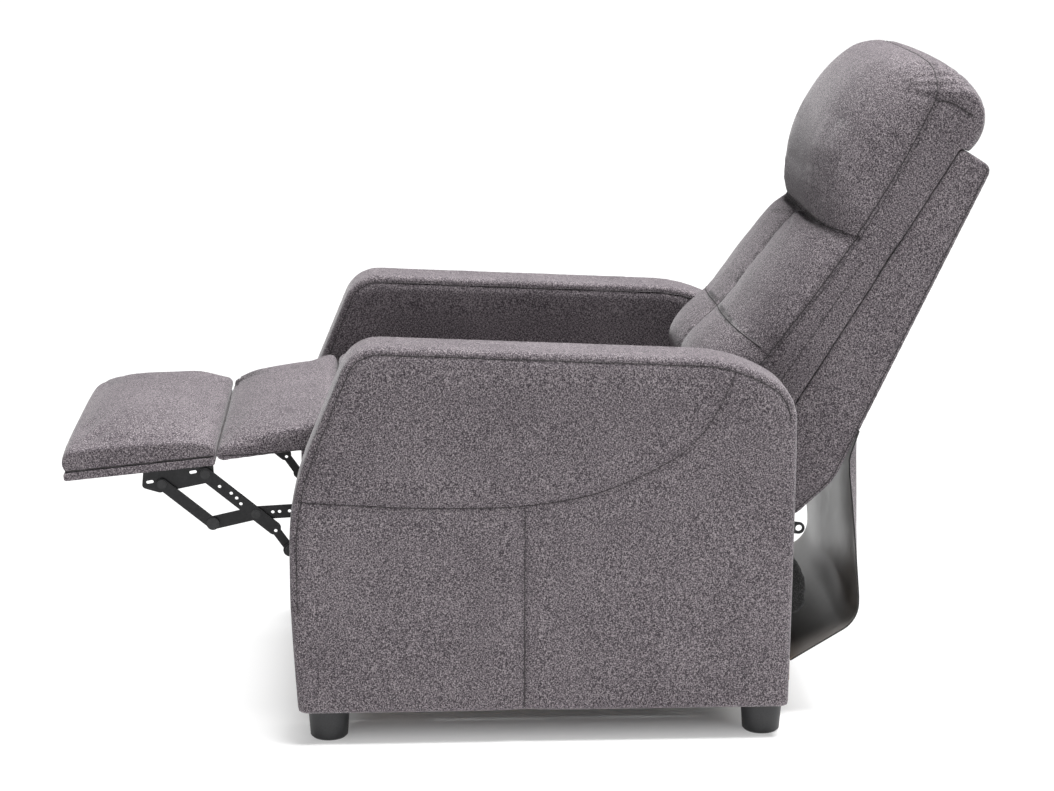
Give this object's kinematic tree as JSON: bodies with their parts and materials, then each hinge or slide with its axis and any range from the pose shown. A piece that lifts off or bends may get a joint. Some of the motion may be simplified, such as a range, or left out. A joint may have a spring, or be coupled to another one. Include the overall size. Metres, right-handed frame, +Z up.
{
  "type": "reclining armchair",
  "caption": "Push-back reclining armchair in woven cloth, shown reclined: back on side pivots, seat on swing links, footrest and calf pad on a riveted steel linkage.",
  "frame": {"origin": "on the floor under the middle of the whole reclined chair", "axes": "+Z up, -Y the way the sitter faces, +X the sitter's left"},
  "size_m": [0.68, 1.3725, 1.0012],
  "materials": {
    "upholstery": "woven melange cloth, matt",
    "flap_cloth": "woven cloth with a dark lining",
    "black_cloth": "thin black lining cloth",
    "webbing": "elastic webbing",
    "frame_wood": "raw board",
    "black_steel": "satin black paint",
    "spring_steel": "drawn wire",
    "foot_plastic": "moulded black plastic"
  },
  "bodies": {
    "base": {"arm_frame_left": "frame_wood", "arm_frame_right": "frame_wood", "arm_cover_left": "upholstery", "arm_cover_right": "upholstery", "base_plate_left": "black_steel", "base_plate_right": "black_steel", "front_feet": "foot_plastic", "rear_feet": "foot_plastic", "front_rail": "frame_wood", "rear_bottom_rail": "frame_wood", "rear_cross_rail": "black_cloth", "base_pivot_pins": "black_steel", "rear_flap": "flap_cloth"},
    "backrest": {"back_shell": "upholstery", "back_frame": "frame_wood", "back_webbing": "webbing", "lumbar_cushion": "upholstery", "head_pillow": "upholstery", "back_bracket_pins": "black_steel", "back_bracket_left": "black_steel", "back_bracket_right": "black_steel"},
    "front_swing": {"front_swing_link_left": "black_steel", "front_swing_link_right": "black_steel"},
    "rear_swing": {"rear_swing_link_left": "black_steel", "rear_swing_link_right": "black_steel"},
    "seat": {"seat_plate_left": "black_steel", "seat_plate_right": "black_steel", "seat_side_rail_left": "frame_wood", "seat_side_rail_right": "frame_wood", "seat_pivot_pins": "black_steel", "seat_cross_tube": "black_steel", "seat_front_rail": "frame_wood", "seat_rear_rail": "frame_wood", "seat_springs": "spring_steel", "spring_clips": "spring_steel", "seat_cushion": "upholstery", "calf_hinge": "black_steel"},
    "cross_links": {"cross_link_left": "black_steel", "cross_link_right": "black_steel", "torque_tube": "black_steel", "cross_link_rivets": "black_steel"},
    "long_links": {"long_link_left": "black_steel", "long_link_right": "black_steel", "long_link_pins": "black_steel"},
    "outer_links": {"outer_link_left": "black_steel", "outer_link_right": "black_steel"},
    "control_links": {"control_link_left": "black_steel", "control_link_right": "black_steel"},
    "footrest": {"footrest_bracket_left": "black_steel", "footrest_bracket_right": "black_steel", "footrest_board": "upholstery", "footrest_pad": "upholstery", "footrest_rivets": "black_steel", "footrest_screws": "black_steel"},
    "calf_pad": {"calf_pad": "upholstery"}
  },
  "joints": [
    {"name": "back_recline", "type": "hinge", "parent": "base", "child": "backrest", "pos_m": [0, 0.32462, 0.415], "axis": [1, 0, 0], "range_deg": [0, 20], "deforming": ["rear_flap"]},
    {"name": "front_swing", "type": "hinge", "parent": "base", "child": "front_swing", "pos_m": [0, -0.16538, 0.225], "axis": [1, 0, 0], "range_deg": [-20, 0]},
    {"name": "rear_swing", "type": "hinge", "parent": "base", "child": "rear_swing", "pos_m": [0, 0.14462, 0.185], "axis": [1, 0, 0], "range_deg": [-20, 0]},
    {"name": "seat_level", "type": "hinge", "parent": "front_swing", "child": "seat", "pos_m": [0, -0.18448, 0.33333], "axis": [1, 0, 0], "range_deg": [0, 20]},
    {"name": "footrest_lift", "type": "hinge", "parent": "seat", "child": "cross_links", "pos_m": [0, -0.25188, 0.3333], "axis": [1, 0, 0], "range_deg": [0, 88]},
    {"name": "long_link_fold", "type": "hinge", "parent": "cross_links", "child": "long_links", "pos_m": [0, -0.40038, 0.3255], "axis": [1, 0, 0], "range_deg": [-106.52, 0]},
    {"name": "footrest_tilt", "type": "hinge", "parent": "long_links", "child": "footrest", "pos_m": [0, -0.47438, 0.387], "axis": [1, 0, 0], "range_deg": [0, 106.52]},
    {"name": "outer_link_fold", "type": "hinge", "parent": "cross_links", "child": "outer_links", "pos_m": [0, -0.46438, 0.311], "axis": [1, 0, 0], "range_deg": [-106.52, 0]},
    {"name": "control_swing", "type": "hinge", "parent": "seat", "child": "control_links", "pos_m": [0, -0.19378, 0.2442], "axis": [1, 0, 0], "range_deg": [0, 88]},
    {"name": "calf_pad_fold", "type": "hinge", "parent": "seat", "child": "calf_pad", "pos_m": [0, -0.30538, 0.446], "axis": [1, 0, 0], "range_deg": [0, 80]}
  ],
  "couplings": [
    {"joint": "front_swing", "follows": "back_recline", "ratio": -1},
    {"joint": "rear_swing", "follows": "back_recline", "ratio": -1},
    {"joint": "seat_level", "follows": "back_recline", "ratio": 1},
    {"joint": "long_link_fold", "follows": "footrest_lift", "ratio": -1.2105},
    {"joint": "footrest_tilt", "follows": "footrest_lift", "ratio": 1.2105},
    {"joint": "outer_link_fold", "follows": "footrest_lift", "ratio": -1.2105},
    {"joint": "control_swing", "follows": "footrest_lift", "ratio": 1},
    {"joint": "calf_pad_fold", "follows": "footrest_lift", "ratio": 0.90909}
  ]
}
